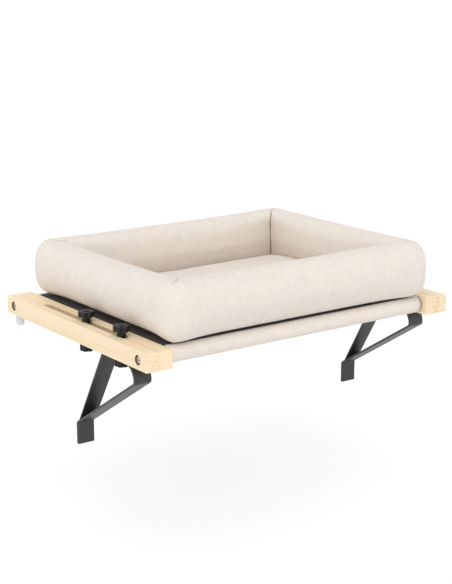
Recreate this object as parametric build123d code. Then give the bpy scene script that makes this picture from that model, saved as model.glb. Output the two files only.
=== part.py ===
from build123d import *
from math import acos, atan2, cos, degrees, hypot, radians, sin, sqrt
import os

# Cat bed that hangs on a radiator or window sill. Two slotted wooden rails lie on the radiator,
# a cloth deck is stretched between two crossbars, pegs drop behind the radiator, clamp brackets
# slide along the rails and bear on its front, and a bolster cushion lies loose on the deck.
# Millimetres. +X to the right, +Y towards the wall, +Z up. The origin is midway between the
# rails, at half their length, on the plane of their undersides.

# Rails
overall_width = 516.0
rail_length = 370.0
rail_width = 40.0
rail_height = 25.0
rail_edge_radius = 1.2
slot_width = 9.5
slot_front_inset = 77.0
slot_rear_inset = 80.0

# Crossbars and the bolts that hold them
crossbar_end_inset = 20.0
crossbar_axis_height = 13.0
crossbar_radius = 10.5
crossbar_wall = 1.2
plug_length = 22.0
bolt_radius = 3.0
bolt_thread_engagement = 14.0
bolt_head_radius = 5.2
bolt_head_height = 3.6
bolt_head_round = 1.2
bolt_socket_across_flats = 5.0
bolt_socket_depth = 2.6
washer_radius = 6.0
washer_thickness = 1.2
counterbore_radius = 6.5
counterbore_depth = 6.5
fit_clearance = 0.05
hole_clearance = 0.3

# Pegs that drop behind the radiator
peg_radius = 6.2
peg_drop = 20.5
peg_spigot_radius = 4.0
peg_spigot_length = 12.0
peg_side_inset = 15.0
peg_rear_inset = 9.0
peg_hole_extra_depth = 1.0

# Cloth deck and the sleeves that hold it to the crossbars
cloth_thickness = 1.2
cloth_side_gap = 2.0
seam_setback = 3.0
sleeve_tail_reach = 28.0
sewn_gap = 0.15

# Clamp brackets
strip_width = 25.6
strip_thickness = 3.0
slide_clearance = 0.1
arm_front_inset = 39.5
arm_drop = 25.7
arm_upper_bend = 21.0
arm_lower_bend = 5.0
foot_bend = 4.5
foot_front_inset = 187.5
arm_slope_degrees = 32.1
foot_length = 31.5
foot_corner_radius = 1.5
plate_rear_margin = 1.0
brace_top_inset = 116.0
brace_foot_margin = 4.5

# Clamp screws: star knobs above the rail, studs, and flatter star nuts under the plate
knob_front_inset = 90.0
knob_spacing = 89.0
knob_head_radius = 11.0
knob_head_height = 8.0
knob_hub_radius = 6.0
knob_hub_height = 6.5
knob_lobes = 6
knob_scallop_radius = 3.6
knob_scallop_offset = 12.6
knob_rest_turn_degrees = 9.0
lobe_corner_radius = 1.4
knob_rim_chamfer = 0.8
knob_cap_radius = 4.6
knob_cap_height = 0.8
stud_radius = 4.0
stud_clearance = 0.5
stud_sunk_in_knob = 9.0
stud_tip_length = 1.2
nut_radius = 9.6
nut_height = 12.4
nut_scallop_radius = 3.6
nut_scallop_offset = 11.6
nut_chamfer = 1.0

# Cushion
cushion_swell_over_knobs = 1.0
cushion_front_overhang = 6.5
cushion_rear_inset = 6.5
cushion_height = 79.5
bolster_width = 56.0
bolster_seam_width = 33.0
bolster_seam_height = 78.0
bolster_corner_radius = 37.0
bolster_crest_round_height = 29.0
bolster_foot_round_height = 34.0
bolster_crest_share = 0.48
bolster_foot_reach = 35.0
bolster_foot_reach_share = 0.86
bolster_foot_flat_share = 0.02
bolster_mitre_degrees = (45, 30, 15)
bolster_steps = 4
bolster_spacing_power = 1.6
bolster_full_power = 4
rest_gap = 0.3
base_cloth_thickness = 1.0
base_cloth_inset = 26.0
pad_gap = 1.5
pad_side_shares = (0.16, 0.45)
pad_edge_height = 14.0
pad_crown_height = 21.0
pad_side_inset = 4.0
pad_crown_share = 0.7
pad_crown_steps = 5

cut_overrun = 5.0

# Places worked out from the sizes
half_width = overall_width / 2
inner_face = half_width - rail_width
rail_centre = half_width - rail_width / 2
rail_front = -rail_length / 2
rail_rear = rail_length / 2
crossbar_places = (rail_front + crossbar_end_inset, rail_rear - crossbar_end_inset)
plug_radius = crossbar_radius - crossbar_wall - fit_clearance
sleeve_radius = crossbar_radius + fit_clearance + cloth_thickness / 2
deck_top = crossbar_axis_height + sleeve_radius + cloth_thickness / 2
cloth_half_width = inner_face - cloth_side_gap
knob_places = (
    rail_front + knob_front_inset,
    rail_front + knob_front_inset + knob_spacing,
)
foot_front = rail_front + foot_front_inset
foot_back = foot_front + strip_thickness
plate_top = -slide_clearance
plate_under = plate_top - strip_thickness
cushion_width = (rail_centre - knob_head_radius + cushion_swell_over_knobs) * 2
cushion_depth = rail_length + cushion_front_overhang - cushion_rear_inset
cushion_centre_y = -(cushion_front_overhang + cushion_rear_inset) / 2


def along_x(shape, x, y, z):
    """Turn a shape made along Z so that it lies along X, with its middle at the place."""
    return Pos(x, y, z) * Rot(0, 90, 0) * shape


def right_of(left_shape):
    """The right-hand twin of a left-hand piece."""
    return mirror(left_shape, about=Plane.YZ)


def left_rail():
    bar = Pos(-rail_centre, 0, rail_height / 2) * Box(rail_width, rail_length, rail_height)
    bar = fillet(bar.edges(), rail_edge_radius)
    slot_length = rail_length - slot_front_inset - slot_rear_inset
    slot_middle = (slot_front_inset - slot_rear_inset) / 2
    slot = Rot(0, 0, 90) * SlotOverall(slot_length, slot_width)
    slot_cut = extrude(slot, rail_height + cut_overrun * 2)
    bar -= Pos(-rail_centre, slot_middle, -cut_overrun) * slot_cut
    bolt_hole = Cylinder(bolt_radius + hole_clearance, rail_width + cut_overrun * 2)
    counterbore = Cylinder(counterbore_radius, counterbore_depth * 2)
    for y in crossbar_places:
        bar -= along_x(bolt_hole, -rail_centre, y, crossbar_axis_height)
        bar -= along_x(counterbore, -half_width, y, crossbar_axis_height)
    peg_hole = Cylinder(peg_spigot_radius + fit_clearance, (peg_spigot_length + peg_hole_extra_depth) * 2)
    bar -= Pos(-half_width + peg_side_inset, rail_rear - peg_rear_inset, 0) * peg_hole
    return bar


def crossbar(y):
    outside = Cylinder(crossbar_radius, inner_face * 2)
    inside = Cylinder(crossbar_radius - crossbar_wall, inner_face * 2 + cut_overrun)
    return along_x(outside - inside, 0, y, crossbar_axis_height)


def crossbar_plugs(y):
    plug = Cylinder(plug_radius, plug_length)
    plug -= Cylinder(bolt_radius + fit_clearance, plug_length + cut_overrun)
    left = along_x(plug, -inner_face + plug_length / 2, y, crossbar_axis_height)
    return [left, right_of(left)]


def left_rail_bolts():
    seat = -half_width + counterbore_depth - washer_thickness
    shank_end = -inner_face + bolt_thread_engagement
    bolts = []
    for y in crossbar_places:
        shank = Cylinder(bolt_radius, shank_end - seat)
        bolt = along_x(shank, (seat + shank_end) / 2, y, crossbar_axis_height)
        head = Cylinder(bolt_head_radius, bolt_head_height)
        head = fillet(head.edges().sort_by(Axis.Z)[0], bolt_head_round)
        bolt += along_x(head, seat - bolt_head_height / 2, y, crossbar_axis_height)
        socket = RegularPolygon(bolt_socket_across_flats / 2, 6, major_radius=False)
        socket_cut = extrude(socket, bolt_socket_depth + cut_overrun)
        bolt -= along_x(socket_cut, seat - bolt_head_height - cut_overrun, y, crossbar_axis_height)
        bolts.append(bolt)
    return bolts


def left_washers():
    washer = Cylinder(washer_radius, washer_thickness)
    washer -= Cylinder(bolt_radius + fit_clearance, washer_thickness + cut_overrun)
    x = -half_width + counterbore_depth - washer_thickness / 2
    return [along_x(washer, x, y, crossbar_axis_height) for y in crossbar_places]


def left_peg():
    shoulder = -peg_drop + peg_radius
    round_point = peg_radius * sqrt(0.5)
    outline = Polyline(
        (0, -peg_drop), (0, peg_spigot_length), (peg_spigot_radius, peg_spigot_length),
        (peg_spigot_radius, 0), (peg_radius, 0), (peg_radius, shoulder),
    )
    dome = ThreePointArc((peg_radius, shoulder), (round_point, shoulder - round_point), (0, -peg_drop))
    profile = Plane.XZ * make_face(outline.edges() + dome.edges())
    peg = revolve(profile, Axis.Z)
    return Pos(-half_width + peg_side_inset, rail_rear - peg_rear_inset, 0) * peg


def side_strip(path, thickness, width, x):
    """A flat bar or cloth bent along a path of (y, z) points, centred at x and as wide as given."""
    band = trace(path, thickness)
    solid = extrude(Plane.YZ * band, width / 2, both=True)
    return Pos(x, 0, 0) * solid


def deck_cloth():
    start, end = crossbar_places[0] + seam_setback, crossbar_places[1] - seam_setback
    sheet = Box(cloth_half_width * 2, end - start, cloth_thickness)
    return Pos(0, (start + end) / 2, deck_top - cloth_thickness / 2) * sheet


def front_sleeve():
    """Cloth from the top seam round the crossbar and back up to the underside of the deck."""
    tail_height = sleeve_radius - cloth_thickness - sewn_gap
    tail_distance = hypot(sleeve_tail_reach, tail_height)
    leave = atan2(tail_height, sleeve_tail_reach) - acos(sleeve_radius / tail_distance)
    leave_point = (sleeve_radius * cos(leave), sleeve_radius * sin(leave))
    path = Line((seam_setback, sleeve_radius), (0, sleeve_radius))
    path += CenterArc((0, 0), sleeve_radius, 90, 270 + degrees(leave))
    path += Line(leave_point, (sleeve_tail_reach, tail_height))
    cloth = side_strip(path, cloth_thickness, cloth_half_width * 2, 0)
    return Pos(0, crossbar_places[0], crossbar_axis_height) * cloth


def arm_line():
    """Middle line of the bent bar: clamp plate, bend, sloping arm and upright foot."""
    middle = strip_thickness / 2
    front = rail_front + arm_front_inset + middle
    plate = plate_top - middle
    corner = -arm_drop
    foot = foot_front + middle
    slope = sin(radians(arm_slope_degrees)) / cos(radians(arm_slope_degrees))
    foot_top = corner - (foot - front) * slope
    points = [
        (foot_back - plate_rear_margin, plate), (front, plate), (front, corner),
        (foot, foot_top), (foot, foot_top - foot_length),
    ]
    return FilletPolyline(points, radius=[arm_upper_bend, arm_lower_bend, foot_bend])


def left_arm():
    arm = side_strip(arm_line(), strip_thickness, strip_width, -rail_centre)
    arm = fillet(arm.edges().filter_by(Axis.Y).group_by(Axis.Z)[0], foot_corner_radius)
    for y in knob_places:
        arm -= Pos(-rail_centre, y, 0) * Cylinder(stud_radius + stud_clearance, cut_overrun * 2)
    return arm


def left_brace():
    """Straight bar from the underside of the plate to the arm, just above the foot."""
    slope = sin(radians(arm_slope_degrees)) / cos(radians(arm_slope_degrees))
    rise = strip_thickness / cos(radians(arm_slope_degrees)) / 2
    front = rail_front + arm_front_inset + strip_thickness / 2

    def arm_top(y):
        return -arm_drop - (y - front) * slope + rise

    top_front = rail_front + brace_top_inset
    low_rear = foot_front - brace_foot_margin
    lean = atan2(low_rear - top_front, plate_under - arm_top(low_rear))
    across = strip_thickness / cos(lean)
    foot_slide = across / (1 + slope * (low_rear - top_front) / (plate_under - arm_top(low_rear)))
    low_front = low_rear - foot_slide
    corners = [
        (top_front, plate_under), (low_front, arm_top(low_front)),
        (low_rear, arm_top(low_rear)), (top_front + across, plate_under),
    ]
    outline = make_face(Polyline(*corners, close=True))
    return Pos(-rail_centre, 0, 0) * extrude(Plane.YZ * outline, strip_width / 2, both=True)


def star_prism(radius, scallop_radius, scallop_offset, height):
    """A grip with a scalloped outline, its middle at the origin."""
    star = Sketch() + Circle(radius)
    for number in range(knob_lobes):
        turn = knob_rest_turn_degrees + number * 360 / knob_lobes
        star -= Rot(0, 0, turn) * Pos(scallop_offset, 0, 0) * Circle(scallop_radius)
    star = fillet(star.vertices(), lobe_corner_radius)
    return extrude(star, height / 2, both=True)


def knob(y):
    """Star grip with scalloped sides, a waist hub that bears on the rail and a low cap."""
    head = star_prism(knob_head_radius, knob_scallop_radius, knob_scallop_offset, knob_head_height)
    head = chamfer(head.edges().group_by(Axis.Z)[-1], knob_rim_chamfer)
    hub_base = rail_height + slide_clearance
    head_middle = hub_base + knob_hub_height + knob_head_height / 2
    shape = Pos(0, 0, head_middle) * head
    shape += Pos(0, 0, hub_base + knob_hub_height / 2) * Cylinder(knob_hub_radius, knob_hub_height)
    cap_middle = head_middle + knob_head_height / 2 + knob_cap_height / 2
    cap = Cylinder(knob_cap_radius, knob_cap_height)
    cap = chamfer(cap.edges().sort_by(Axis.Z)[-1], knob_cap_height / 2)
    shape += Pos(0, 0, cap_middle) * cap
    shape -= Pos(0, 0, hub_base) * Cylinder(stud_radius + fit_clearance, stud_sunk_in_knob * 2)
    return Pos(-rail_centre, y, 0) * shape


def knob_stud(y):
    top = rail_height + slide_clearance + stud_sunk_in_knob
    bottom = plate_under - nut_height - stud_tip_length
    stud = Pos(0, 0, (top + bottom) / 2) * Cylinder(stud_radius, top - bottom)
    stud = chamfer(stud.edges().sort_by(Axis.Z)[0], stud_tip_length)
    return Pos(-rail_centre, y, 0) * stud


def left_nuts():
    nut = star_prism(nut_radius, nut_scallop_radius, nut_scallop_offset, nut_height)
    nut = chamfer(nut.edges().group_by(Axis.Z)[0], nut_chamfer)
    nut -= Cylinder(stud_radius + fit_clearance, nut_height + cut_overrun)
    return [Pos(-rail_centre, y, plate_under - nut_height / 2) * nut for y in knob_places]


def wall_depth(distance, half_length):
    """How thick the cushion wall is at a distance from its corner: full, but drawn in at the seams."""
    reach = (half_length - max(distance, bolster_seam_width)) / (half_length - bolster_seam_width)
    fullness = 1 - reach ** bolster_full_power
    return bolster_seam_width + (bolster_width - bolster_seam_width) * fullness


def bolster_section(outer, inner, height):
    """Soft oval cross-section between two plan points. It bears on its foot nearer its inner side."""
    direction = Vector(inner[0] - outer[0], inner[1] - outer[1], 0)
    width = direction.length
    middle = ((outer[0] + inner[0]) / 2, (outer[1] + inner[1]) / 2, height / 2)
    side, top = width / 2, height / 2
    bow = 1 - sqrt(0.5)
    foot_share = min(bolster_foot_reach / width, bolster_foot_reach_share)
    corners = [
        (-1, -1, foot_share, bolster_foot_round_height),
        (1, -1, 1 - foot_share - bolster_foot_flat_share, bolster_foot_round_height),
        (1, 1, bolster_crest_share, bolster_crest_round_height),
        (-1, 1, bolster_crest_share, bolster_crest_round_height),
    ]
    edges = []
    for number, (sx, sz, share, upright) in enumerate(corners):
        across = width * share
        flat_point = (sx * (side - across), sz * top)
        upright_point = (sx * side, sz * (top - upright))
        round_point = (sx * (side - across * bow), sz * (top - upright * bow))
        first, last = (upright_point, flat_point) if number % 2 == 0 else (flat_point, upright_point)
        edges.append(ThreePointArc(first, round_point, last))
    joined = []
    for number, arc in enumerate(edges):
        joined.append(arc)
        joined.append(Line(arc @ 1, edges[(number + 1) % len(edges)] @ 0))
    section_plane = Plane(origin=middle, x_dir=direction, z_dir=direction.cross(Vector(0, 0, 1)))
    return section_plane * make_face(joined)


def bolster(half_length):
    """One filled side of the cushion wall, along X, its outer face on Y = 0, mitred at both ends."""
    radius = bolster_corner_radius
    plans = []
    for turn in bolster_mitre_degrees:
        lean = radians(turn)
        outer = (radius - radius * sin(lean), radius - radius * cos(lean))
        reach = (wall_depth(outer[0], half_length) - outer[1]) / cos(lean)
        plans.append((outer, (outer[0] + reach * sin(lean), outer[1] + reach * cos(lean))))
    for step in range(bolster_steps + 1):
        distance = radius + (half_length - radius) * (step / bolster_steps) ** bolster_spacing_power
        plans.append(((distance, 0), (distance, wall_depth(distance, half_length))))
    heights = []
    for number in range(len(plans)):
        crown = sin(radians(90 * number / (len(plans) - 1)))
        heights.append(bolster_seam_height + (cushion_height - bolster_seam_height) * crown)
    mirrored = [((2 * half_length - o[0], o[1]), (2 * half_length - i[0], i[1])) for o, i in plans[-2::-1]]
    sections = []
    for (outer, inner), height in zip(plans + mirrored, heights + heights[-2::-1]):
        sections.append(bolster_section(outer, inner, height))
    return Pos(-half_length, 0, 0) * loft(sections, ruled=True)


def pad_outline(inset, height):
    """Plan of the floor pad inside the wall, at a height, drawn in by an inset all round."""
    halves = (cushion_width / 2, cushion_depth / 2)
    corner = bolster_seam_width + inset
    edges = []
    for number in range(4):
        along, deep = (halves[0], halves[1]) if number % 2 == 0 else (halves[1], halves[0])
        near, far = [corner + (along - corner) * share for share in pad_side_shares]
        shrink = (along - corner) / (along - bolster_seam_width)
        points = [(along - corner, corner - deep)]
        for distance in (near, far):
            points.append(((along - distance) * shrink, wall_depth(distance, along) + inset - deep))
        left = ThreePointArc(*[(-x, y) for x, y in points])
        right = ThreePointArc(*reversed(points))
        side = Curve() + [left, Line(left @ 1, right @ 0), right]
        edges.extend((Rot(0, 0, 90 * number) * side).edges())
    return Pos(0, 0, height) * make_face(edges)


def floor_pad():
    """Crowned pad: its side bows out at half its edge height, and its top rises in even steps."""
    side = pad_gap + pad_side_inset
    sections = [pad_outline(side, 0), pad_outline(pad_gap, pad_edge_height / 2)]
    for step in range(pad_crown_steps + 1):
        turn = radians(90 * step / pad_crown_steps)
        size = 1 - pad_crown_share * (1 - cos(turn))
        rise = (pad_crown_height - pad_edge_height) * sin(turn)
        smaller = scale(pad_outline(side, 0), by=(size, size, 1))
        sections.append(Pos(0, 0, pad_edge_height + rise) * smaller)
    return loft(sections, ruled=True)


def cushion_pieces():
    base = Box(
        cushion_width - base_cloth_inset * 2, cushion_depth - base_cloth_inset * 2, base_cloth_thickness
    )
    lift = deck_top + rest_gap
    centre = Pos(0, cushion_centre_y, lift + base_cloth_thickness)
    long_side, short_side = bolster(cushion_width / 2), bolster(cushion_depth / 2)
    front = centre * Pos(0, -cushion_depth / 2, 0) * long_side
    rear = centre * Rot(0, 0, 180) * Pos(0, -cushion_depth / 2, 0) * long_side
    left = centre * Rot(0, 0, -90) * Pos(0, -cushion_width / 2, 0) * short_side
    right = centre * Rot(0, 0, 90) * Pos(0, -cushion_width / 2, 0) * short_side
    return {
        "cushion_wall_front": [front],
        "cushion_wall_rear": [rear],
        "cushion_wall_left": [left],
        "cushion_wall_right": [right],
        "cushion_floor_pad": [centre * floor_pad()],
        "cushion_base_cloth": [Pos(0, cushion_centre_y, lift + base_cloth_thickness / 2) * base],
    }


def frame_pieces():
    rear_sleeve = mirror(front_sleeve(), about=Plane.XZ)
    return {
        "rail_left": [left_rail()],
        "rail_right": [right_of(left_rail())],
        "crossbar_front": [crossbar(crossbar_places[0])],
        "crossbar_rear": [crossbar(crossbar_places[1])],
        "crossbar_plugs_front": crossbar_plugs(crossbar_places[0]),
        "crossbar_plugs_rear": crossbar_plugs(crossbar_places[1]),
        "rail_bolts_left": left_rail_bolts(),
        "rail_bolts_right": [right_of(bolt) for bolt in left_rail_bolts()],
        "bolt_washers_left": left_washers(),
        "bolt_washers_right": [right_of(washer) for washer in left_washers()],
        "peg_left": [left_peg()],
        "peg_right": [right_of(left_peg())],
        "deck_cloth": [deck_cloth()],
        "deck_sleeve_front": [front_sleeve()],
        "deck_sleeve_rear": [rear_sleeve],
    }


def bracket_pieces():
    pieces = {
        "bracket_arm_left": [left_arm()],
        "bracket_brace_left": [left_brace()],
        "clamp_nuts_left": left_nuts(),
    }
    for place, y in zip(("front", "rear"), knob_places):
        pieces[f"knob_{place}_left"] = [knob(y)]
        pieces[f"knob_stud_{place}_left"] = [knob_stud(y)]
    for name, shapes in list(pieces.items()):
        pieces[name.replace("left", "right")] = [right_of(shape) for shape in shapes]
    return pieces


os.makedirs("parts", exist_ok=True)
for node, shapes in {**frame_pieces(), **bracket_pieces(), **cushion_pieces()}.items():
    solids = [solid for shape in shapes for solid in shape.solids()]
    export_step(solids[0] if len(solids) == 1 else Compound(solids), f"parts/{node}.step")
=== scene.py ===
# %% [markdown]
# # A cat bed that hangs on a radiator
# Two slotted pine rails carry a stretched dark deck. Steel brackets with star knobs slide under the
# rails, and a filled cushion lies on the deck. The hard pieces come ready from the frame, at their real
# size. This lesson gives them their finishes, and makes every soft piece as sewn and filled cloth.

# %% Load the frame
import math

import bpy
import numpy as np
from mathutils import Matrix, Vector
from mathutils.bvhtree import BVHTree


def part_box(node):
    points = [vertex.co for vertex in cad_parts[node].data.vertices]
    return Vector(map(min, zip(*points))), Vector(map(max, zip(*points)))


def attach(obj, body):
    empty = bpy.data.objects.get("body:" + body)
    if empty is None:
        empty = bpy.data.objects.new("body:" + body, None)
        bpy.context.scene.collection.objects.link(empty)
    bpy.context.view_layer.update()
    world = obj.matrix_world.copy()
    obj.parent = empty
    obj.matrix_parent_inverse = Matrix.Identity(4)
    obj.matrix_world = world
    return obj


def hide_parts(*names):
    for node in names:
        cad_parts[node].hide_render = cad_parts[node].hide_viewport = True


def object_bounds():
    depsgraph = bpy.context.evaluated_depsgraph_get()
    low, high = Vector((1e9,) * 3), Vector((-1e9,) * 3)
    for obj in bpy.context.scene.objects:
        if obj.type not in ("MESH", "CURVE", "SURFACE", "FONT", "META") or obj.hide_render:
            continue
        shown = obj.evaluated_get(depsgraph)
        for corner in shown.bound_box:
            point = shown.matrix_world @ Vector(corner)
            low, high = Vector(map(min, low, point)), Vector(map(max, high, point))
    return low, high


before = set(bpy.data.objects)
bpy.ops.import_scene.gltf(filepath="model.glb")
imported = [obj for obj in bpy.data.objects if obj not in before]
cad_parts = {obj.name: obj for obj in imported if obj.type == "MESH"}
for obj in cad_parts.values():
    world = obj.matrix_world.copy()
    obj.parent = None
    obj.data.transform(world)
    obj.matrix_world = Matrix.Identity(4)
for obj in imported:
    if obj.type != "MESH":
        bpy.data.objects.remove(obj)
cad_low, cad_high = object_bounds()
print("frame box, mm:", [round(v * 1000, 1) for v in (*cad_low, *cad_high)])

# %% [markdown]
# ## Camera
# The picture looks down on the left front corner through a long lens. The camera's place, turn and lens
# were worked out from the corners of the rails, so a piece that is right in the frame lands on the same
# spot in the picture. A long lens keeps the far rail almost as large as the near one.

# %% Place the camera
CAMERA_PLACE = (-1.1375, -1.5609, 0.513)
CAMERA_TURN_DEGREES = 36.04
CAMERA_DIP_DEGREES = 14.06
LENS_MM = 84.97

camera_data = bpy.data.cameras.new("camera")
camera_data.lens = LENS_MM
camera_data.clip_end = 100
camera = bpy.data.objects.new("camera", camera_data)
camera.location = CAMERA_PLACE
camera.rotation_euler = (
    math.radians(90 - CAMERA_DIP_DEGREES),
    0,
    math.radians(-CAMERA_TURN_DEGREES),
)
bpy.context.scene.collection.objects.link(camera)
bpy.context.scene.camera = camera
bpy.context.scene.view_settings.view_transform = "Standard"
print("camera at", CAMERA_PLACE, "with a lens of", LENS_MM, "mm")

# %% [markdown]
# ## Light and floor
# The picture is a bright studio shot on white. A pale sky from every side gives soft light, and one
# wide sun from the left front gives the cushion its shape. The floor is plain and pale. Seen by the
# camera it glows a little, so that it reads as white while it still takes the bed's soft shadow.

# %% Light the studio
SKY_LOW = 1.20
SKY_HIGH = 0.62
SUN_LIGHT = 0.95
SUN_SPREAD_DEGREES = 40
SUN_TILT_DEGREES = (38, 0, -40)


def seen_directly(nodes, links):
    """A share that is 1 for rays from the camera, a mirror or glass, and 0 for the light between."""
    path = nodes.new("ShaderNodeLightPath")
    first = nodes.new("ShaderNodeMath")
    first.operation = "MAXIMUM"
    links.new(path.outputs["Is Camera Ray"], first.inputs[0])
    links.new(path.outputs["Is Glossy Ray"], first.inputs[1])
    second = nodes.new("ShaderNodeMath")
    second.operation = "MAXIMUM"
    links.new(first.outputs[0], second.inputs[0])
    links.new(path.outputs["Is Transmission Ray"], second.inputs[1])
    return second.outputs[0]


world = bpy.data.worlds.new("studio")
bpy.context.scene.world = world
world.use_nodes = True
sky_nodes, sky_links = world.node_tree.nodes, world.node_tree.links
sky = sky_nodes["Background"]
sky.inputs["Color"].default_value = (1, 1, 1, 1)
direction = sky_nodes.new("ShaderNodeTexCoord")
upward = sky_nodes.new("ShaderNodeSeparateXYZ")
sky_links.new(direction.outputs["Generated"], upward.inputs[0])
level = sky_nodes.new("ShaderNodeMapRange")
sky_links.new(upward.outputs["Z"], level.inputs["Value"])
level.inputs["To Min"].default_value = SKY_LOW
level.inputs["To Max"].default_value = SKY_HIGH
strength = sky_nodes.new("ShaderNodeMapRange")
sky_links.new(seen_directly(sky_nodes, sky_links), strength.inputs["Value"])
sky_links.new(level.outputs["Result"], strength.inputs["To Min"])
strength.inputs["To Max"].default_value = 1
sky_links.new(strength.outputs["Result"], sky.inputs["Strength"])

sun_data = bpy.data.lights.new("sun", "SUN")
sun_data.energy = SUN_LIGHT
sun_data.angle = math.radians(SUN_SPREAD_DEGREES)
sun = bpy.data.objects.new("sun", sun_data)
sun.rotation_euler = [math.radians(turn) for turn in SUN_TILT_DEGREES]
bpy.context.scene.collection.objects.link(sun)
print("sky from", SKY_HIGH, "to", SKY_LOW, "and sun", SUN_LIGHT)

# %% Lay the floor
FLOOR_DROP = 0.16
FLOOR_SIZE = 90
FLOOR_PALE = 0.92
FLOOR_GLOW = 0.68
FLOOR_SHADE = 0.36


def floor_finish():
    """Pale and matt for the light, and nearly white to the eye, with the bed's shadow kept."""
    paint = bpy.data.materials.new("studio_floor")
    paint.use_nodes = True
    nodes, links = paint.node_tree.nodes, paint.node_tree.links
    nodes.clear()
    matt = nodes.new("ShaderNodeBsdfDiffuse")
    matt.inputs["Color"].default_value = (FLOOR_PALE, FLOOR_PALE, FLOOR_PALE, 1)
    soft = nodes.new("ShaderNodeBsdfDiffuse")
    soft.inputs["Color"].default_value = (FLOOR_SHADE, FLOOR_SHADE, FLOOR_SHADE, 1)
    glow = nodes.new("ShaderNodeEmission")
    glow.inputs["Strength"].default_value = FLOOR_GLOW
    white = nodes.new("ShaderNodeAddShader")
    links.new(soft.outputs[0], white.inputs[0])
    links.new(glow.outputs[0], white.inputs[1])
    choose = nodes.new("ShaderNodeMixShader")
    links.new(seen_directly(nodes, links), choose.inputs[0])
    links.new(matt.outputs[0], choose.inputs[1])
    links.new(white.outputs[0], choose.inputs[2])
    out = nodes.new("ShaderNodeOutputMaterial")
    links.new(choose.outputs[0], out.inputs["Surface"])
    return paint


bpy.ops.object.select_all(action="DESELECT")
bpy.ops.mesh.primitive_plane_add(size=FLOOR_SIZE, location=(0, 0, cad_low.z - FLOOR_DROP))
floor = bpy.context.object
floor.name = "studio_floor"
floor.data.materials.append(floor_finish())
print("floor", FLOOR_DROP, "m below the brackets")

# %% [markdown]
# ## A workbench for finishes
# A finish is a small network of nodes: where a point lies, what pattern is there, and what colour,
# gloss and relief the pattern gives. A little class keeps that readable. Each of its methods adds one
# node and gives back its output, so a pattern can be written almost like a sum.

# %% The finish workbench
class Finish:
    """One material, with short ways to add nodes to it."""

    def __init__(self, name, coordinates="Object"):
        self.material = bpy.data.materials.new(name)
        self.material.use_nodes = True
        self.nodes = self.material.node_tree.nodes
        self.links = self.material.node_tree.links
        self.shader = self.nodes["Principled BSDF"]
        self.place = self.nodes.new("ShaderNodeTexCoord").outputs[coordinates]

    def feed(self, socket, value):
        if isinstance(value, bpy.types.NodeSocket):
            self.links.new(value, socket)
        else:
            socket.default_value = value

    def math(self, operation, first, second=0.0, third=0.0):
        node = self.nodes.new("ShaderNodeMath")
        node.operation = operation
        for socket, value in zip(node.inputs, (first, second, third)):
            self.feed(socket, value)
        return node.outputs[0]

    def reach(self, first, second):
        """How far a point lies from a line, given two distances at right angles."""
        squares = [self.math("MULTIPLY", side, side) for side in (first, second)]
        return self.math("SQRT", self.math("ADD", *squares))

    def axes(self, place=None):
        node = self.nodes.new("ShaderNodeSeparateXYZ")
        self.feed(node.inputs[0], place or self.place)
        return node.outputs

    def stretched(self, stretch):
        """The place, measured in steps of another size along each axis."""
        node = self.nodes.new("ShaderNodeMapping")
        self.feed(node.inputs["Vector"], self.place)
        node.inputs["Scale"].default_value = stretch
        return node.outputs[0]

    def noise(self, place, scale, detail=2.0):
        node = self.nodes.new("ShaderNodeTexNoise")
        self.feed(node.inputs["Vector"], place)
        node.inputs["Scale"].default_value = scale
        node.inputs["Detail"].default_value = detail
        return node.outputs["Fac"]

    def between(self, share, low, high):
        """A number that runs from low to high as the share runs from 0 to 1."""
        node = self.nodes.new("ShaderNodeMapRange")
        self.feed(node.inputs["Value"], share)
        node.inputs["To Min"].default_value = low
        node.inputs["To Max"].default_value = high
        return node.outputs["Result"]

    def mix(self, share, first, second):
        """A colour between two others."""
        node = self.nodes.new("ShaderNodeMix")
        node.data_type = "RGBA"
        for socket, value in zip((node.inputs[0], node.inputs[6], node.inputs[7]), (share, first, second)):
            self.feed(socket, value)
        return node.outputs[2]

    def ramp(self, value, stops):
        """A share read from a graded scale of (place, brightness) stops."""
        node = self.nodes.new("ShaderNodeValToRGB")
        while len(node.color_ramp.elements) < len(stops):
            node.color_ramp.elements.new(0.5)
        for element, (place, bright) in zip(node.color_ramp.elements, stops):
            element.position = place
            element.color = (bright, bright, bright, 1)
        self.feed(node.inputs[0], value)
        return node.outputs[0]

    def relief(self, height, depth, before=None):
        """Bumps as deep as given, in metres, on top of any relief made before."""
        node = self.nodes.new("ShaderNodeBump")
        node.inputs["Distance"].default_value = depth
        self.feed(node.inputs["Height"], height)
        if before:
            self.feed(node.inputs["Normal"], before)
        return node.outputs[0]

    def set(self, **values):
        """Set or link the shader's own sockets, with words joined by an underline."""
        for name, value in values.items():
            self.feed(self.shader.inputs[name.replace("_", " ")], value)
        return self


def rgb(red, green, blue):
    return (red, green, blue, 1)
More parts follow.
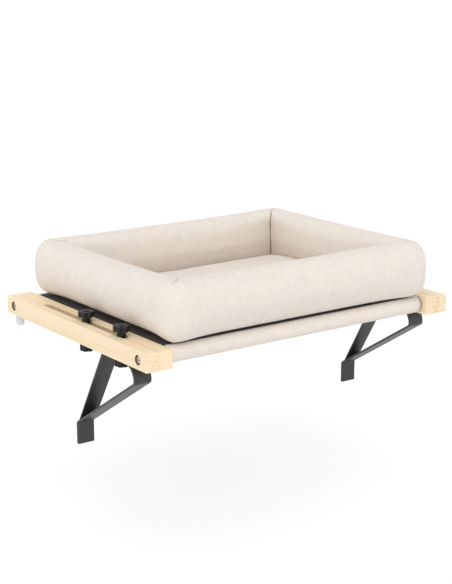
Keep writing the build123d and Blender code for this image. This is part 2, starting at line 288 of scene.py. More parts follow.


# %% [markdown]
# ## Pine
# A plank is a slice out of a trunk, so its grain is a solid pattern and not a picture on its faces.
# Rings run round a pith line that lies beside the plank. The distance from that line, bent a little by
# noise, gives the rings: wide pale early wood that darkens slowly, then a thin line of late wood. The
# top shows them as long stripes and the sawn end as flat arcs. Fine fibres run along the plank. The
# walls of the slot are cut and not sanded, which leaves them browner, and painted shade darkens them
# further. The bolt holes are painted dark brown, as painted shade in the counterbores.

# %% Pine for the rails
RING_PITCH = 0.0060
RING_WANDER = 0.014
STREAK_SHARE = 2.6
PINE_PALE = rgb(0.90, 0.735, 0.515)
PINE_DARK = rgb(0.76, 0.545, 0.29)
# Dark brown used in full on the bolt holes as painted shade, and in part on the slot walls as cut grain and
# painted shade.
PINE_CUT_GRAIN_AND_SHADE = rgb(0.27, 0.16, 0.07)
SLOT_GRAIN_AND_SHADE_SHARE = 0.32
FIBRE_SHARE = 0.22
FIBRE_RELIEF = 0.00006
RING_RELIEF = 0.00005
BORE_RADIUS = 0.0067
SLOT_HALF_WIDTH = 0.0049
SLOT_FRONT_INSET = 0.0765
SLOT_REAR_INSET = 0.0795
rail_low, rail_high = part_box("rail_right")
RAIL_MIDDLE = (rail_low.x + rail_high.x) / 2
SLOT_MIDDLE = (SLOT_FRONT_INSET - SLOT_REAR_INSET) / 2
SLOT_HALF_LENGTH = (rail_high.y - rail_low.y - SLOT_FRONT_INSET - SLOT_REAR_INSET) / 2
bolts_low, bolts_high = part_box("rail_bolts_right")
bolt_half_head = (bolts_high.z - bolts_low.z) / 2
BOLT_Y = bolts_high.y - bolt_half_head
BOLT_Z = (bolts_low.z + bolts_high.z) / 2


def pine(name, pith_x, pith_z, paler):
    finish = Finish(name)
    x, y, z = finish.axes()
    beside = finish.math("COMPARE", finish.math("ABSOLUTE", x), RAIL_MIDDLE, SLOT_HALF_WIDTH)
    routed = finish.math("MULTIPLY", beside, finish.math("COMPARE", y, SLOT_MIDDLE, SLOT_HALF_LENGTH))
    bore_y = finish.math("SUBTRACT", finish.math("ABSOLUTE", y), BOLT_Y)
    bore_z = finish.math("SUBTRACT", z, BOLT_Z)
    painted_bore_shade = finish.math("LESS_THAN", finish.reach(bore_y, bore_z), BORE_RADIUS)
    # The bolt holes take the dark brown in full, as painted shade; the slot walls take a share of it, as cut
    # grain and painted shade.
    cut = finish.math("MAXIMUM", painted_bore_shade, finish.math("MULTIPLY", routed, SLOT_GRAIN_AND_SHADE_SHARE))
    wander = finish.noise(finish.stretched((22, 1.6, 8)), 1.0, 2.0)
    streak = finish.noise(finish.stretched((110, 1.8, 45)), 1.0, 2.0)
    across = finish.math("SUBTRACT", x, pith_x)
    upward = finish.math("SUBTRACT", z, pith_z)
    reach = finish.math("MULTIPLY_ADD", wander, RING_WANDER, finish.reach(across, upward))
    ring = finish.math("FRACT", finish.math("DIVIDE", reach, RING_PITCH))
    late = finish.ramp(ring, [(0.0, 0.15), (0.08, 0.0), (0.55, 0.12), (0.88, 0.75), (0.94, 1.0), (1.0, 0.15)])
    fibre = finish.noise(finish.stretched((900, 14, 900)), 1.0, 2.0)
    cloud = finish.noise(finish.stretched((14, 2, 14)), 1.0, 2.0)
    late_share = finish.math("MULTIPLY", late, finish.between(cloud, 0.18, 0.65))
    shade = finish.math("MULTIPLY_ADD", fibre, FIBRE_SHARE, late_share)
    shade = finish.math("MULTIPLY_ADD", finish.math("SUBTRACT", streak, 0.5), STREAK_SHARE, shade)
    # The paler share shifts the whole plank's tone; the right rail's lower share is painted shade.
    sanded = finish.mix(finish.math("SUBTRACT", shade, paler), PINE_PALE, PINE_DARK)
    finish.set(
        Base_Color=finish.mix(cut, sanded, PINE_CUT_GRAIN_AND_SHADE),
        Roughness=finish.between(fibre, 0.42, 0.60),
        Normal=finish.relief(fibre, FIBRE_RELIEF, finish.relief(late, RING_RELIEF)),
    )
    return finish.material


LEFT_PITH = (-0.262, -0.055)
RIGHT_PITH = (0.250, -0.060)
LEFT_PALER_SHARE = 0.18
# The right rail is set darker than the left, as painted shade beside the cushion.
RIGHT_PALER_SHARE_WITH_SHADE = -0.08
left_pine = pine("pine_left", *LEFT_PITH, LEFT_PALER_SHARE)
shaded_right_pine = pine("pine_right_shaded", *RIGHT_PITH, RIGHT_PALER_SHARE_WITH_SHADE)
print("pine with rings every", RING_PITCH * 1000, "mm")

# %% [markdown]
# ## Coated steel, black plastic and bright hardware
# The brackets are powder coated: a black film with a very fine orange-peel relief and a half-matt gloss
# that turns pale at a glancing look. The knobs and nuts are moulded nylon with a faint grain. The bolts
# are zinc plated, and the studs blackened. The pegs under the rails are frosted clear plastic.

# %% Powder coat
COAT_DARK = rgb(0.026, 0.026, 0.025)
COAT_LIGHT = rgb(0.038, 0.038, 0.036)
COAT_RELIEF = 0.00003


def powder_coat():
    finish = Finish("powder_coat")
    peel = finish.noise(finish.place, 1500, 2.0)
    drift = finish.noise(finish.place, 24, 3.0)
    finish.set(
        Base_Color=finish.mix(drift, COAT_DARK, COAT_LIGHT),
        Roughness=finish.between(peel, 0.36, 0.50),
        Normal=finish.relief(peel, COAT_RELIEF),
    )
    return finish.material


# %% Moulded black plastic
NYLON_DARK = rgb(0.010, 0.010, 0.010)
NYLON_LIGHT = rgb(0.018, 0.018, 0.018)
NYLON_RELIEF = 0.00002


def moulded_black():
    finish = Finish("moulded_black")
    grain = finish.noise(finish.place, 2600, 1.0)
    rub = finish.noise(finish.place, 90, 3.0)
    finish.set(
        Base_Color=finish.mix(rub, NYLON_DARK, NYLON_LIGHT),
        Roughness=finish.between(rub, 0.32, 0.46),
        Specular_IOR_Level=0.32,
        Normal=finish.relief(grain, NYLON_RELIEF),
    )
    return finish.material


# %% Plated steel, bright and black
ZINC_COLOURS = (rgb(0.62, 0.62, 0.60), rgb(0.80, 0.80, 0.78))
ZINC_ROUGHNESS = (0.20, 0.34)
OXIDE_COLOURS = (rgb(0.05, 0.05, 0.05), rgb(0.10, 0.10, 0.10))
OXIDE_ROUGHNESS = (0.30, 0.45)
TURNING_RELIEF = 0.00001


def plated_steel(name, colours, roughness):
    finish = Finish(name)
    spangle = finish.noise(finish.place, 420, 3.0)
    turned = finish.noise(finish.stretched((60, 2200, 2200)), 1.0, 1.0)
    finish.set(
        Base_Color=finish.mix(spangle, *colours),
        Metallic=1.0,
        Roughness=finish.between(spangle, *roughness),
        Normal=finish.relief(turned, TURNING_RELIEF),
    )
    return finish.material


# %% Frosted clear plastic
PEG_DULL = rgb(0.84, 0.88, 0.93)
PEG_CLEAR = rgb(0.90, 0.93, 0.97)
PEG_RELIEF = 0.00004


def clear_plastic():
    finish = Finish("clear_plastic")
    haze = finish.noise(finish.place, 160, 2.0)
    finish.set(
        Base_Color=finish.mix(haze, PEG_DULL, PEG_CLEAR),
        Transmission_Weight=0.3,
        IOR=1.46,
        Roughness=finish.between(haze, 0.24, 0.34),
        Normal=finish.relief(haze, PEG_RELIEF),
    )
    return finish.material


# %% Give the hard pieces their finishes
def dress(node, material):
    """Put one finish on a node of the frame."""
    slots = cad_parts[node].data.materials
    slots.clear()
    slots.append(material)


SIDES = ("left", "right")
PLACES = ("front", "rear")
coat = powder_coat()
moulded = moulded_black()
bright_zinc = plated_steel("bright_zinc", ZINC_COLOURS, ZINC_ROUGHNESS)
black_oxide = plated_steel("black_oxide", OXIDE_COLOURS, OXIDE_ROUGHNESS)
clear = clear_plastic()
for side, wood in zip(SIDES, (left_pine, shaded_right_pine)):
    dress(f"rail_{side}", wood)
    dress(f"bracket_arm_{side}", coat)
    dress(f"bracket_brace_{side}", coat)
    dress(f"clamp_nuts_{side}", moulded)
    dress(f"rail_bolts_{side}", bright_zinc)
    dress(f"bolt_washers_{side}", bright_zinc)
    dress(f"peg_{side}", clear)
    for place in PLACES:
        dress(f"knob_{place}_{side}", moulded)
        dress(f"knob_stud_{place}_{side}", black_oxide)
for place in PLACES:
    dress(f"crossbar_{place}", coat)
    dress(f"crossbar_plugs_{place}", bright_zinc)
print("dressed", len(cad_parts), "nodes of the frame")

# %% [markdown]
# ## Cloth
# The cushion's cover is a pale herringbone: narrow columns of slanting yarns that lean left and right
# by turns. The pattern has to follow the cloth round every roll, so it reads a flat map of the cloth,
# measured in metres. Yarns differ a little in colour, as spun yarn does, and that gives the soft
# heather look from a distance. The deck is a plain dark weave, which can read its place in space. The
# sewing thread is darker than the cover, partly as painted shade of the seam's crease, so that its
# stitches can be seen.

# %% Pale herringbone cloth
COLUMN_WIDTH = 0.006
STROKE_PITCH = 0.0030
STROKE_RISE = 0.0048
CREAM_LIGHT = rgb(0.930, 0.862, 0.795)
CREAM_DARK = rgb(0.660, 0.590, 0.525)
WEAVE_SHARE = 0.50
SPUN_SHARE = 0.80
HEATHER_SHARE = 0.35
PALEST_TONE = 1.28
STROKE_RELIEF = 0.00022
SPUN_RELIEF = 0.00012


def herringbone():
    finish = Finish("cream_herringbone", "UV")
    u, v = finish.axes()[:2]
    lean = finish.math("DIVIDE", finish.math("PINGPONG", u, COLUMN_WIDTH), STROKE_PITCH)
    rise = finish.math("DIVIDE", v, STROKE_RISE)
    yarn = finish.math("FRACT", finish.math("ADD", rise, lean))
    weave = finish.math("SINE", finish.math("MULTIPLY", yarn, math.pi))
    slub = finish.noise(finish.stretched((650, 40, 1)), 1.0, 2.0)
    slub_across = finish.noise(finish.stretched((40, 650, 1)), 1.0, 2.0)
    heather = finish.noise(finish.place, 75, 3.0)
    spun = finish.math("MULTIPLY", finish.math("ADD", slub, slub_across), 0.5)
    tone = finish.math("MULTIPLY_ADD", weave, WEAVE_SHARE, finish.math("MULTIPLY", spun, SPUN_SHARE))
    tone = finish.math("MULTIPLY_ADD", finish.math("SUBTRACT", heather, 0.5), HEATHER_SHARE, tone)
    finish.set(
        Base_Color=finish.mix(finish.math("SUBTRACT", PALEST_TONE, tone), CREAM_LIGHT, CREAM_DARK),
        Roughness=0.92,
        Sheen_Weight=0.12,
        Sheen_Roughness=0.5,
        Normal=finish.relief(weave, STROKE_RELIEF, finish.relief(spun, SPUN_RELIEF)),
    )
    return finish.material


cream = herringbone()
print("herringbone columns", COLUMN_WIDTH * 1000, "mm wide")

# %% Dark plain weave
PLAIN_PITCH = 0.0011
PLAIN_RELIEF = 0.00012
CHARCOAL_DARK = rgb(0.020, 0.020, 0.020)
CHARCOAL_LIGHT = rgb(0.046, 0.045, 0.044)


def dark_weave():
    finish = Finish("charcoal_weave")
    x, y, z = finish.axes()
    turns = math.pi / PLAIN_PITCH
    over = finish.math("SINE", finish.math("MULTIPLY", x, turns))
    under = finish.math("SINE", finish.math("MULTIPLY", finish.math("ADD", y, z), turns))
    weave = finish.math("MULTIPLY_ADD", finish.math("MULTIPLY", over, under), 0.5, 0.5)
    heather = finish.noise(finish.stretched((260, 40, 260)), 1.0, 3.0)
    shade = finish.math("MULTIPLY", finish.math("ADD", weave, heather), 0.5)
    finish.set(
        Base_Color=finish.mix(shade, CHARCOAL_DARK, CHARCOAL_LIGHT),
        Roughness=0.9,
        Sheen_Weight=0.08,
        Normal=finish.relief(weave, PLAIN_RELIEF),
    )
    return finish.material


charcoal = dark_weave()
print("charcoal weave, yarns", PLAIN_PITCH * 1000, "mm apart")

# %% Sewing thread
# The thread is darker than the cover; part of that darkness is painted shade along the mitre seams.
THREAD_DARK = rgb(0.40, 0.35, 0.31)
THREAD_LIGHT = rgb(0.54, 0.48, 0.43)
THREAD_RELIEF = 0.00004


def sewing_thread():
    finish = Finish("seam_thread")
    twist = finish.noise(finish.place, 1800, 1.0)
    finish.set(
        Base_Color=finish.mix(twist, THREAD_DARK, THREAD_LIGHT),
        Roughness=0.8,
        Normal=finish.relief(twist, THREAD_RELIEF),
    )
    return finish.material


seam_thread = sewing_thread()
print("thread for the seams")

# %% [markdown]
# ## Small helpers for cloth pieces
# A soft piece is a mesh of its own. It lies where the frame says, rides on a body and stands for a node
# of the frame. Three helpers do what every piece needs: one makes a mesh from points and faces, one
# gives it a flat map of its cloth, and one hands it over to the frame. The others pick a piece, read and
# write its points, apply its modifiers, or find the box round several nodes.

# %% Helpers for cloth pieces
def pick(piece):
    """Select one piece and nothing else, so that an operator acts on it alone."""
    bpy.ops.object.select_all(action="DESELECT")
    piece.select_set(True)
    bpy.context.view_layer.objects.active = piece


def make_piece(name, points, faces, material):
    mesh = bpy.data.meshes.new(name)
    mesh.from_pydata([tuple(point) for point in points], [], faces)
    mesh.materials.append(material)
    piece = bpy.data.objects.new(name, mesh)
    bpy.context.scene.collection.objects.link(piece)
    pick(piece)
    bpy.ops.object.shade_smooth()
    return piece


def lay_pattern(piece, corners):
    """Give each corner of each face its place on the flat cloth, in metres."""
    layer = piece.data.uv_layers.new(name="cloth")
    layer.data.foreach_set("uv", np.array(corners, np.float32).ravel())


def hand_over(piece, body, slot, *nodes):
    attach(piece, body)
    if nodes:
        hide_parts(*nodes)
    print("made", piece.name, "with", len(piece.data.polygons), "faces")


def points_of(piece):
    points = np.zeros(len(piece.data.vertices) * 3)
    piece.data.vertices.foreach_get("co", points)
    return points.reshape(-1, 3)


def put_points(piece, points):
    piece.data.vertices.foreach_set("co", points.ravel())
    piece.data.update()


def apply_all(piece):
    pick(piece)
    for modifier in list(piece.modifiers):
        bpy.ops.object.modifier_apply(modifier=modifier.name)


def all_boxes(*nodes):
    """The box round several nodes of the frame."""
    lows, highs = zip(*[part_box(node) for node in nodes])
    low = Vector([min(point[axis] for point in lows) for axis in range(3)])
    high = Vector([max(point[axis] for point in highs) for axis in range(3)])
    return low, high


# %% [markdown]
# ## The cushion's wall
# The wall is one stuffed tube that runs round the cushion. Outside it rounds the corners without a
# seam. Inside and on top it is mitred: the cover is cut at 45 degrees and sewn, which makes the tube a
# little thinner at each corner. Each side swells from its seams to its middle. The tube is laid out as
# stations round the plan, each with a soft oval section, and then filled like a real one, by cloth
# under pressure, with its foot held. Each station leans towards the seam, so that none crosses the next.

# %% Sizes of the wall, from the frame
WALL_NODES = ["cushion_wall_front", "cushion_wall_right", "cushion_wall_rear", "cushion_wall_left"]
wall_low, wall_high = all_boxes(*WALL_NODES)
WALL_WIDTH = 0.056
SEAM_WIDTH = 0.047
WALL_HEIGHT = wall_high.z - wall_low.z
CORNER_RADIUS = 0.032
# A power of 2 is an ellipse, and a higher one is nearer a square with rounded corners.
OUTER_CREST_POWER = 2.5
INNER_CREST_POWER = 2.8
SEAM_CREST_POWER = 7
OUTER_FOOT_POWER = 1.85
SEAM_FOOT_POWER = 3.4
INNER_FOOT_POWER = 1.4
SEAM_FADE_POWER = 3
FOOT_FADE_POWER = 8
# The sides are filled unevenly: front, right, rear and left.
EXTRA_HEIGHT = [0.0015, 0.0023, 0.0006, 0.0]
FOOT_REACH = 0.038
FOOT_REACH_SHARE = 0.9
SECTION_POINTS = 44
CORNER_TURNS = 8
LEAN_POWER = 2
STATION_STEP = 0.0062
cushion_centre = (wall_low + wall_high) / 2
half_across = (wall_high.x - wall_low.x) / 2
half_along = (wall_high.y - wall_low.y) / 2
print("cushion", round(half_across * 2000), "by", round(half_along * 2000), "mm")


# %% The wall's plan, from one seam to the next
def wall_depth(distance, half_length):
    """How thick the wall is at a distance from its corner: drawn in at the seam, full in the middle."""
    reach = (half_length - np.maximum(distance, SEAM_WIDTH)) / (half_length - SEAM_WIDTH)
    return SEAM_WIDTH + (WALL_WIDTH - SEAM_WIDTH) * (1 - reach ** 4)


def half_wall(half_length):
    """Stations from the seam to the middle of a side: outer point, inner point, cloth length, share."""
    turns = np.radians(np.linspace(45, 0, CORNER_TURNS + 1))
    outer_x = CORNER_RADIUS * (1 - np.sin(turns))
    outer_y = CORNER_RADIUS * (1 - np.cos(turns))
    cloth = CORNER_RADIUS * (turns[0] - turns)
    straight = half_length - CORNER_RADIUS
    steps = math.ceil(straight / STATION_STEP)
    along = CORNER_RADIUS + straight * np.arange(1, steps + 1) / steps
    outer_x = np.concatenate([outer_x, along])
    outer_y = np.concatenate([outer_y, along * 0])
    cloth = np.concatenate([cloth, cloth[-1] + along - CORNER_RADIUS])
    lean = (SEAM_WIDTH - outer_x[0]) * (1 - cloth / cloth[-1]) ** LEAN_POWER
    inner_x = outer_x + lean
    inner_y = wall_depth(inner_x, half_length)
    share = (outer_x - outer_x[0]) / (half_length - outer_x[0])
    return np.stack([outer_x, outer_y, inner_x, inner_y, cloth, share], axis=1)


def whole_wall(half_length):
    """One side from seam to seam, measured from its middle."""
    first = half_wall(half_length)
    second = first[-2::-1].copy()
    middle = first[-1, 4]
    for column in (0, 2):
        first[:, column] -= half_length
        second[:, column] = half_length - second[:, column]
    first[:, 4] -= middle
    second[:, 4] = middle - second[:, 4]
    return np.concatenate([first, second])


print("stations on a long side:", len(whole_wall(half_across)))


# %% The wall's oval section
SECTION_ANGLES = 2 * math.pi * (np.arange(SECTION_POINTS) / SECTION_POINTS - 1 / 4)


def section(outer, inner, height, crest_power, foot_power):
    """Points round a soft oval between two plan points: foot, outer face, top and inner face."""
    crest, outside = np.sin(SECTION_ANGLES) > 0, np.cos(SECTION_ANGLES) > 0
    power = np.where(
        crest,
        np.where(outside, OUTER_CREST_POWER, crest_power),
        np.where(outside, foot_power, INNER_FOOT_POWER),
    )
    across = np.sign(np.cos(SECTION_ANGLES)) * np.abs(np.cos(SECTION_ANGLES)) ** (2 / power)
    upward = np.sign(np.sin(SECTION_ANGLES)) * np.abs(np.sin(SECTION_ANGLES)) ** (2 / power)
    foot = min((FOOT_REACH - outer[1]) / (inner[1] - outer[1]), FOOT_REACH_SHARE)
    middle = np.where(crest, 1 / 2, foot)
    inward = np.where(across > 0, middle * (1 - across), middle - (1 - middle) * across)
    plan = outer + inward[:, None] * (inner - outer)
    return np.column_stack([plan, height / 2 * (1 + upward)])


def cloth_round(points):
    """Distance along the cloth from the foot, up the outer face, over the top and down inside."""
    steps = np.linalg.norm(np.roll(points, -1, axis=0) - points, axis=1)
    return np.concatenate([[0], np.cumsum(steps)])


# %% Lay the wall's cloth
QUARTER = SECTION_POINTS // 4
FILLING_SLACK = 0.0014


def wall_side(number):
    """One side's rings of points in the frame, and each point's place on the flat cloth."""
    half_length = half_along if number % 2 else half_across
    offset = half_across if number % 2 else half_along
    spin = math.pi / 2 * number
    turn = np.array([[math.cos(spin), -math.sin(spin)], [math.sin(spin), math.cos(spin)]])
    outside = np.clip(np.append(np.cos(SECTION_ANGLES), math.cos(SECTION_ANGLES[0])), 0, 1)
    rings, cloth = [], []
    for outer_x, outer_y, inner_x, inner_y, along, share in whole_wall(half_length):
        outer = np.array([outer_x, outer_y])
        inner = np.array([inner_x, inner_y])
        inward = (inner - outer) / np.linalg.norm(inner - outer) * FILLING_SLACK
        near_seam = (1 - share) ** SEAM_FADE_POWER
        neighbour = (number + (1 if outer_x > 0 else -1)) % 4
        extra = EXTRA_HEIGHT[number] + (EXTRA_HEIGHT[neighbour] - EXTRA_HEIGHT[number]) / 2 * near_seam
        crest_power = INNER_CREST_POWER + (SEAM_CREST_POWER - INNER_CREST_POWER) * near_seam
        near_corner = (1 - share) ** FOOT_FADE_POWER
        foot_power = OUTER_FOOT_POWER + (SEAM_FOOT_POWER - OUTER_FOOT_POWER) * near_corner
        ring = section(outer + inward, inner - inward, WALL_HEIGHT + extra, crest_power, foot_power)
        around = cloth_round(ring)
        straight = np.append(ring[:, 0], ring[0, 0])
        cloth.append(np.column_stack([
            outside * along + (1 - outside) * straight,
            around - around[QUARTER],
        ]))
        plan = (ring[:, :2] - np.array([0, offset])) @ turn.T
        rings.append(np.column_stack([plan + cushion_centre[:2], ring[:, 2] + wall_low.z]))
    return np.array(rings), np.array(cloth), whole_wall(half_length)[-1, 4]


def wall_mesh():
    """The whole ring. Each side begins at a seam, and ends at the first ring of the next side."""
    sides = [wall_side(number) for number in range(4)]
    points = np.concatenate([rings[:-1] for rings, cloth, reach in sides])
    total = len(points)
    faces, flat = [], []
    first = 0
    length = 0.0
    for rings, cloth, reach in sides:
        length += reach
        for place in range(len(rings) - 1):
            here = (first + place) % total * SECTION_POINTS
            there = (first + place + 1) % total * SECTION_POINTS
            for point in range(SECTION_POINTS):
                beyond = (point + 1) % SECTION_POINTS
                faces.append((here + point, there + point, there + beyond, here + beyond))
                ring_corners = (place, point), (place + 1, point), (place + 1, point + 1), (place, point + 1)
                for ring, spot in ring_corners:
                    flat.append((length + cloth[ring][spot][0], cloth[ring][spot][1]))
        first += len(rings) - 1
        length += reach
    seams = np.cumsum([0] + [len(rings) - 1 for rings, cloth, reach in sides[:-1]])
    return points, faces, flat, seams


wall_rings, wall_faces, wall_flat, seam_rings = wall_mesh()
wall = make_piece("cushion_wall", wall_rings.reshape(-1, 3), wall_faces, cream)
lay_pattern(wall, wall_flat)
print("the wall's ring has", len(wall_rings), "sections of", SECTION_POINTS, "points")

# %% [markdown]
# ## Filling by pressure
# Blender's Cloth can blow a closed mesh up from inside, which is what stuffing does to a cover. Gravity
# is off, and only a few steps are taken. Then each point's travel is capped, so that the cover swells
# and evens out but keeps its size. The foot is held, because it is pressed flat by the cushion's own weight.

# %% The filling helper
FILLING_PRESSURE = 4.0
FILLING_FRAMES = 20
LEAST_TRAVEL = 1e-9


def fill(piece, cap, held_group=""):
    """Blow a closed cover up a little, with no point moved by more than the cap, in metres."""
    before = points_of(piece)
    pick(piece)
    cloth = piece.modifiers.new("filling", "CLOTH")
    cloth.settings.use_pressure = True
    cloth.settings.uniform_pressure_force = FILLING_PRESSURE
    cloth.settings.effector_weights.gravity = 0
    cloth.settings.vertex_group_mass = held_group
    cloth.point_cache.frame_end = FILLING_FRAMES
    for number in range(1, FILLING_FRAMES + 1):
        bpy.context.scene.frame_set(number)
    bpy.ops.object.modifier_apply(modifier=cloth.name)
    bpy.context.scene.frame_set(1)
    travel = points_of(piece) - before
    length = np.linalg.norm(travel, axis=1, keepdims=True)
    eased = cap * np.tanh(length / cap) / np.maximum(length, LEAST_TRAVEL)
    put_points(piece, before + travel * eased)
    print(piece.name, "swelled by up to", round(float((length * eased).max()) * 1000, 1), "mm")


def fit_between(piece, low, high):
    """Bring a filled piece back to the box that it was cut for."""
    points = points_of(piece)
    bottom, top = points.min(axis=0), points.max(axis=0)
    share = (points - bottom) / (top - bottom)
    put_points(piece, np.array(low) + share * (np.array(high) - np.array(low)))


def hold_points(piece, name, weights):
    """A vertex group that holds each point as firmly as its weight says."""
    group = piece.vertex_groups.new(name=name)
    for point, weight in enumerate(weights):
        if weight > 0:
            group.add([point], float(weight), "REPLACE")
    return group.name


# %% Fill the wall
WALL_CAP = 0.0015
SEAM_CREASE = 0.0090
CREST_SHARE = 0.10
FOOT_SHARE = 0.2
inside_share = np.clip(CREST_SHARE - np.cos(SECTION_ANGLES), 0, 1)
foot_share = np.clip((-np.sin(SECTION_ANGLES) - FOOT_SHARE) / (1 - FOOT_SHARE), 0, 1)
fill(wall, WALL_CAP, hold_points(wall, "held", np.tile(foot_share, len(wall_rings))))
fit_between(wall, wall_low, wall_high + Vector((0, 0, max(EXTRA_HEIGHT))))
wall.vertex_groups.clear()
print("wall", [round(size * 1000, 1) for size in wall.dimensions])


# %% Draw the mitre seams in
def draw_seams_in(piece):
    """The thread pulls the cover in at each seam: on top and inside, and not round the outside."""
    rings = points_of(piece).reshape(-1, SECTION_POINTS, 3)
    for seam in seam_rings:
        ring = rings[seam]
        inward = ring.mean(axis=0) - ring
        inward /= np.linalg.norm(inward, axis=1, keepdims=True)
        rings[seam] = ring + inward * (inside_share * SEAM_CREASE)[:, None]
    put_points(piece, rings.reshape(-1, 3))


def crease_seams(piece):
    """Keep the seams sharp when the cover is smoothed."""
    sharpness = piece.data.attributes.new("crease_edge", "FLOAT", "EDGE")
    for edge in piece.data.edges:
        rings = [vertex // SECTION_POINTS for vertex in edge.vertices]
        spots = [vertex % SECTION_POINTS for vertex in edge.vertices]
        if rings[0] == rings[1] and rings[0] in seam_rings:
            sharpness.data[edge.index].value = float(inside_share[spots].min())


def round_off(piece):
    """One subdivision, applied, for a smooth surface."""
    rounder = piece.modifiers.new("rounder", "SUBSURF")
    rounder.levels = rounder.render_levels = 1
    apply_all(piece)


SEAM_SHARP_DEGREES = 38
draw_seams_in(wall)
crease_seams(wall)
round_off(wall)
pick(wall)
bpy.ops.object.shade_smooth_by_angle(angle=math.radians(SEAM_SHARP_DEGREES))
hand_over(wall, "cushion", "beige_weave", *WALL_NODES)

# %% [markdown]
# ## Stitches over the mitres
# On the crest each seam shows as a short row of stitches. They are laid last, on the finished cover: a
# line is followed over the crest, brought to the surface, and cut into short lengths of thread.

# %% Sew the mitres
STITCH_LENGTH = 0.0034
STITCH_PITCH = 0.0050
STITCH_RADIUS = 0.00045
STITCH_SIDES = 6
STITCHED_DEGREES = (62, 150)


def seam_line(ring, tree):
    """Points along a seam over the crest, on the finished cover, with the cover's normals."""
    degrees = np.degrees(SECTION_ANGLES)
    spots = ring[(degrees > STITCHED_DEGREES[0]) & (degrees < STITCHED_DEGREES[1])]
    found = [tree.find_nearest(Vector(spot)) for spot in spots]
    return np.array([place for place, *rest in found]), np.array([normal for place, normal, *rest in found])


def at_distance(line, travelled, distance):
    return np.array([np.interp(distance, travelled, line[:, axis]) for axis in range(3)])


def stitch(start, end, normal):
    """A short bar of thread with pointed ends, half sunk into the cloth."""
    along = (end - start) / np.linalg.norm(end - start)
    aside = np.cross(normal, along)
    aside /= np.linalg.norm(aside)
    up = np.cross(along, aside)
    points = [start]
    for centre in (start + along * STITCH_RADIUS, end - along * STITCH_RADIUS):
        for turn in np.radians(np.arange(STITCH_SIDES) * 360 / STITCH_SIDES):
            points.append(centre + (aside * math.cos(turn) + up * math.sin(turn)) * STITCH_RADIUS)
    points.append(end)
    faces = []
    for side in range(STITCH_SIDES):
        here, beyond = 1 + side, 1 + (side + 1) % STITCH_SIDES
        faces.append((0, beyond, here))
        faces.append((here, beyond, beyond + STITCH_SIDES, here + STITCH_SIDES))
        faces.append((here + STITCH_SIDES, beyond + STITCH_SIDES, len(points) - 1))
    return points, faces


def sew_mitres():
    tree = BVHTree.FromObject(wall, bpy.context.evaluated_depsgraph_get())
    points, faces = [], []
    for seam in seam_rings:
        line, normals = seam_line(wall_rings[seam], tree)
        travelled = np.concatenate([[0], np.cumsum(np.linalg.norm(np.diff(line, axis=0), axis=1))])
        for first in np.arange(0, travelled[-1] - STITCH_LENGTH, STITCH_PITCH):
            normal = at_distance(normals, travelled, first + STITCH_LENGTH / 2)
            start, end = [at_distance(line, travelled, first + more) for more in (0, STITCH_LENGTH)]
            new_points, new_faces = stitch(start, end, normal)
            faces.extend(tuple(len(points) + corner for corner in face) for face in new_faces)
            points.extend(new_points)
    return points, faces


stitches = make_piece("mitre_stitches", *sew_mitres(), seam_thread)
hand_over(stitches, "cushion", "beige_weave")

# %% [markdown]
# ## The floor pad
# The pad is a flat pillow that fills the space between the walls. It is plump in the middle, and its
# sewn edge is tucked under the swell of the walls as far as their feet, which leaves a crease all round.
# It is laid out as two grids that share their rim, and then it swells by pressure like the wall. Where it
# would enter the wall, it is pressed back against it.

# %% Sizes of the pad
PAD_EDGE_HEIGHT = 0.0087
PAD_DROP_ACROSS = 0.0035
PAD_DROP_ALONG = 0.0075
PAD_RIM_SHARE = 0.15
PAD_RIM_REACH = FOOT_REACH + 0.003
PAD_CROWN_POWER = 4
PAD_SIDE_POWER = 8
PAD_SIDE_DROP_SHARE = 0.2
PAD_SPREAD_SHARE = 0.4
PAD_STEP = 0.0055
PAD_CAP = 0.003
PAD_WALL_GAP = 0.0008
pad_low, pad_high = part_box("cushion_floor_pad")


# %% The pad's two grids
def pad_lines(half_length):
    """Shares from -1 to 1 across the pad, closer together near its edges."""
    even = np.linspace(-1, 1, 2 * round(half_length / PAD_STEP) + 1)
    return PAD_SPREAD_SHARE * even + (1 - PAD_SPREAD_SHARE) * np.sin(even * math.pi / 2)


def edge_rise(share, share_along, half_length, half_depth, drop):
    """From 0 on the rim to 1 where the edge starts to drop, a little in front of the wall's swell."""
    distance = half_length - np.abs(share_along) * (half_length - SEAM_WIDTH)
    level_at = wall_depth(distance, half_length) + drop
    from_rim = (1 - np.abs(share)) * (half_depth - PAD_RIM_REACH)
    inset = np.minimum(from_rim / (level_at - PAD_RIM_REACH), 1)
    return 1 - (1 - inset) ** 2


